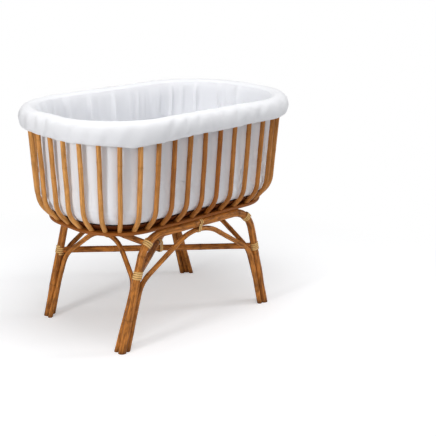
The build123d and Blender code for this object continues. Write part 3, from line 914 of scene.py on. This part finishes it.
cuff_radii, cuff_heights = all_round(cuff_profile, cuff_stations)
draw = random.Random(5)
gather_waves = drawn_waves(draw, total=12, counts=(24, 92), third=(0.3, 1.0))
hem_waves = drawn_waves(draw, total=6, counts=(3, 19), third=(0.2, 0.8))
wrinkle_waves = drawn_waves(draw, total=9, counts=(14, 64), third=(-90, 90))
for station in range(cuff_stations):
    share = station / cuff_stations
    off_dip = (share - dip_share + 0.5) % 1 - 0.5
    hem_drop = hem_dip * math.exp(-abs(off_dip) / dip_width)
    hem_drop += hem_waver * (1 + upright_folds(hem_waves, share) / 2)
    for place, (radius, height) in enumerate(cuff_profile):
        if radius > outside_from and height < hem_from:
            cuff_heights[station, place] -= hem_drop * (hem_from - height) / hem_fall
            if radius > cuff_inner:
                ease = math.sin(math.pi * within_one((wrinkles_from - height) / wrinkles_fall))
                ripple = slanting_creases(wrinkle_waves, share, height - wrinkle_middle)
                cuff_radii[station, place] += wrinkle_depth * ease * ripple / 2
        elif crown_place < place <= len(cuff_outer) or height < tuck_below:
            below = within_one((gathers_from - height) / gathers_fall)
            pull = upright_folds(gather_waves, share, height - gather_middle, gather_twist)
            gathered = max(0, pull / gather_spread) ** gather_sharpness
            cuff_radii[station, place] -= gather_depth * below * gathered
shaded_cuff_cotton = cotton("cuff_cotton_shaded", cuff_shaded_white, cuff_shaded_grey, slub=0.25)
cuff = basket_ring("padded_cuff", cuff_radii, cuff_heights, shaded_cuff_cotton)
sewn_places = [0, *range(first_inner_seam, cuff_places)]
sewn = [station * cuff_places + place for station in range(cuff_stations) for place in sewn_places]
plumped(cuff, sewn, cuff_give)
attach(cuff, "liner")
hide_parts("liner_cuff")

# Mattress: a thin foam pad in a white cotton cover, crowned on top and drawn in round its edge,
# laid on the floor of the liner.
mattress_profile = [
    (0.030, 0.3606), (0.080, 0.3606), (0.112, 0.3606), (0.1205, 0.3622), (0.1252, 0.3670),
    (0.1266, 0.3740), (0.1266, 0.3900), (0.1250, 0.3985), (0.1200, 0.4045), (0.110, 0.4078),
    (0.085, 0.4112), (0.057, 0.4135), (0.030, 0.4140),
]
mattress_stations = 120
mattress_cell = 0.007
mattress_underside = 0.370
mattress_give = 0.003
cotton_cover = cotton("mattress_cotton", bag_white, bag_shade)
mattress_radii, mattress_heights = all_round(mattress_profile, mattress_stations)
mattress = basket_ring(
    "cotton_mattress", mattress_radii, mattress_heights, cotton_cover, closed=False, filled=(0, -1)
)
even_cloth = mattress.modifiers.new("even_cloth", "REMESH")
even_cloth.mode = "VOXEL"
even_cloth.voxel_size = mattress_cell
even_cloth.use_smooth_shade = True
even_mesh = bpy.data.meshes.new_from_object(mattress.evaluated_get(bpy.context.evaluated_depsgraph_get()))
mattress.modifiers.remove(even_cloth)
mattress.data = even_mesh
cover_points = np.empty(len(even_mesh.vertices) * 3, np.float32)
even_mesh.vertices.foreach_get("co", cover_points)
if "grain" not in even_mesh.attributes:
    even_mesh.attributes.new("grain", "FLOAT_VECTOR", "POINT")
even_mesh.attributes["grain"].data.foreach_set("vector", cover_points.reshape(-1, 3)[:, [1, 2, 0]].ravel())
underside = [index for index, height in enumerate(cover_points[2::3]) if height < mattress_underside]
plumped(mattress, underside, mattress_give)
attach(mattress, "mattress")
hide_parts("mattress")

# Studio: a wide pale floor that runs out to white, an even pale surround, and five lamps. The one from the
# left is small and strong, so that the spindles cast their shadows on the lining.
floor_reach = 30
floor_colour = (0.83, 0.84, 0.86, 1)
floor_lift = 0.34
pure_white = (1, 1, 1, 1)
surround_strength = 0.17
warm_light = (1.0, 0.99, 0.98)
cool_light = (0.97, 0.985, 1.0)
plain_light = (1.0, 1.0, 1.0)

floor_mesh = bpy.data.meshes.new("studio_floor")
floor_corners = [(x * floor_reach, y * floor_reach, 0) for x, y in ((-1, -1), (1, -1), (1, 1), (-1, 1))]
floor_mesh.from_pydata(floor_corners, [], [(0, 1, 2, 3)])
floor = bpy.data.objects.new("studio_floor", floor_mesh)
bpy.context.collection.objects.link(floor)
floor_finish, start = finish_named("pale_floor")
seen = start.node("ShaderNodeLightPath", {}, {}, "Is Camera Ray")
matt = start.node("ShaderNodeBsdfDiffuse", {}, {"Color": floor_colour})
lift = start.node("ShaderNodeEmission", {}, {"Color": pure_white, "Strength": floor_lift})
lifted = start.node("ShaderNodeAddShader", {}, {"Shader": matt, "Shader_001": lift})
near = start.node("ShaderNodeMixShader", {}, {"Fac": seen, "Shader": matt, "Shader_001": lifted})
white = start.node("ShaderNodeEmission", {}, {"Color": pure_white, "Strength": 1.0})
spot = start.node("ShaderNodeTexCoord", {}, {}, "Object")
away = start.node("ShaderNodeVectorMath", {"operation": "LENGTH"}, {"Vector": spot}, 1)
far = start.ramp(away * 0.5, (0.28, 0), (0.62, 1))
whole = start.node("ShaderNodeMixShader", {}, {"Fac": seen * far, "Shader": near, "Shader_001": white})
start.node("ShaderNodeOutputMaterial", {}, {"Surface": whole})
floor_mesh.materials.append(floor_finish)

scene = bpy.context.scene
scene.view_settings.view_transform = "Standard"
world = bpy.data.worlds.new("studio")
scene.world = world
world.use_nodes = True
world.node_tree.nodes.clear()
sky = Finish(world.node_tree)
seen = sky.node("ShaderNodeLightPath", {}, {}, "Is Camera Ray")
glow = sky.node("ShaderNodeBackground", {}, {"Color": pure_white, "Strength": surround_strength})
blank = sky.node("ShaderNodeBackground", {}, {"Color": pure_white, "Strength": 1.0})
shown = sky.node("ShaderNodeMixShader", {}, {"Fac": seen, "Shader": glow, "Shader_001": blank})
sky.node("ShaderNodeOutputWorld", {}, {"Surface": shown})


def soft_lamp(name, place, target, size, power, colour):
    """A square soft box facing a point."""
    lamp = bpy.data.lights.new(name, "AREA")
    lamp.size = size
    lamp.energy = power
    lamp.color = colour
    box = bpy.data.objects.new(name, lamp)
    box.location = place
    box.rotation_euler = (Vector(target) - Vector(place)).to_track_quat("-Z", "Y").to_euler()
    box.visible_camera = False
    bpy.context.collection.objects.link(box)


soft_lamp("key_from_left", (-2.9, -0.3, 1.4), (0, 0, 0.45), size=0.55, power=31, colour=warm_light)
soft_lamp("edge_from_right", (2.3, -1.5, 1.2), (0.1, -0.1, 0.5), size=0.45, power=14, colour=warm_light)
soft_lamp("low_front", (-1.3, -2.9, 0.6), (0, -0.1, 0.48), size=0.9, power=6, colour=cool_light)
soft_lamp("overhead", (-0.1, -0.4, 3.0), (0, 0, 0.5), size=2.0, power=57, colour=plain_light)
soft_lamp("high_front", (-1.5, -2.4, 2.9), (0, 0, 0.6), size=1.3, power=9, colour=plain_light)

# Camera: a long lens a little above the rim, off the near left corner.
camera_place = Vector((-1.9164, -2.1919, 1.2128))
camera_way = Vector((0.628, 0.718, -0.299))
lens = bpy.data.cameras.new("camera")
lens.lens = 78.64
lens.sensor_width = 36
lens.shift_x = 0.138
lens.shift_y = 0.007
lens.clip_end = 100
camera = bpy.data.objects.new("camera", lens)
camera_turn = camera_way.to_track_quat("-Z", "Y").to_matrix().to_4x4()
camera.matrix_world = Matrix.Translation(camera_place) @ camera_turn
bpy.context.collection.objects.link(camera)
scene.camera = camera
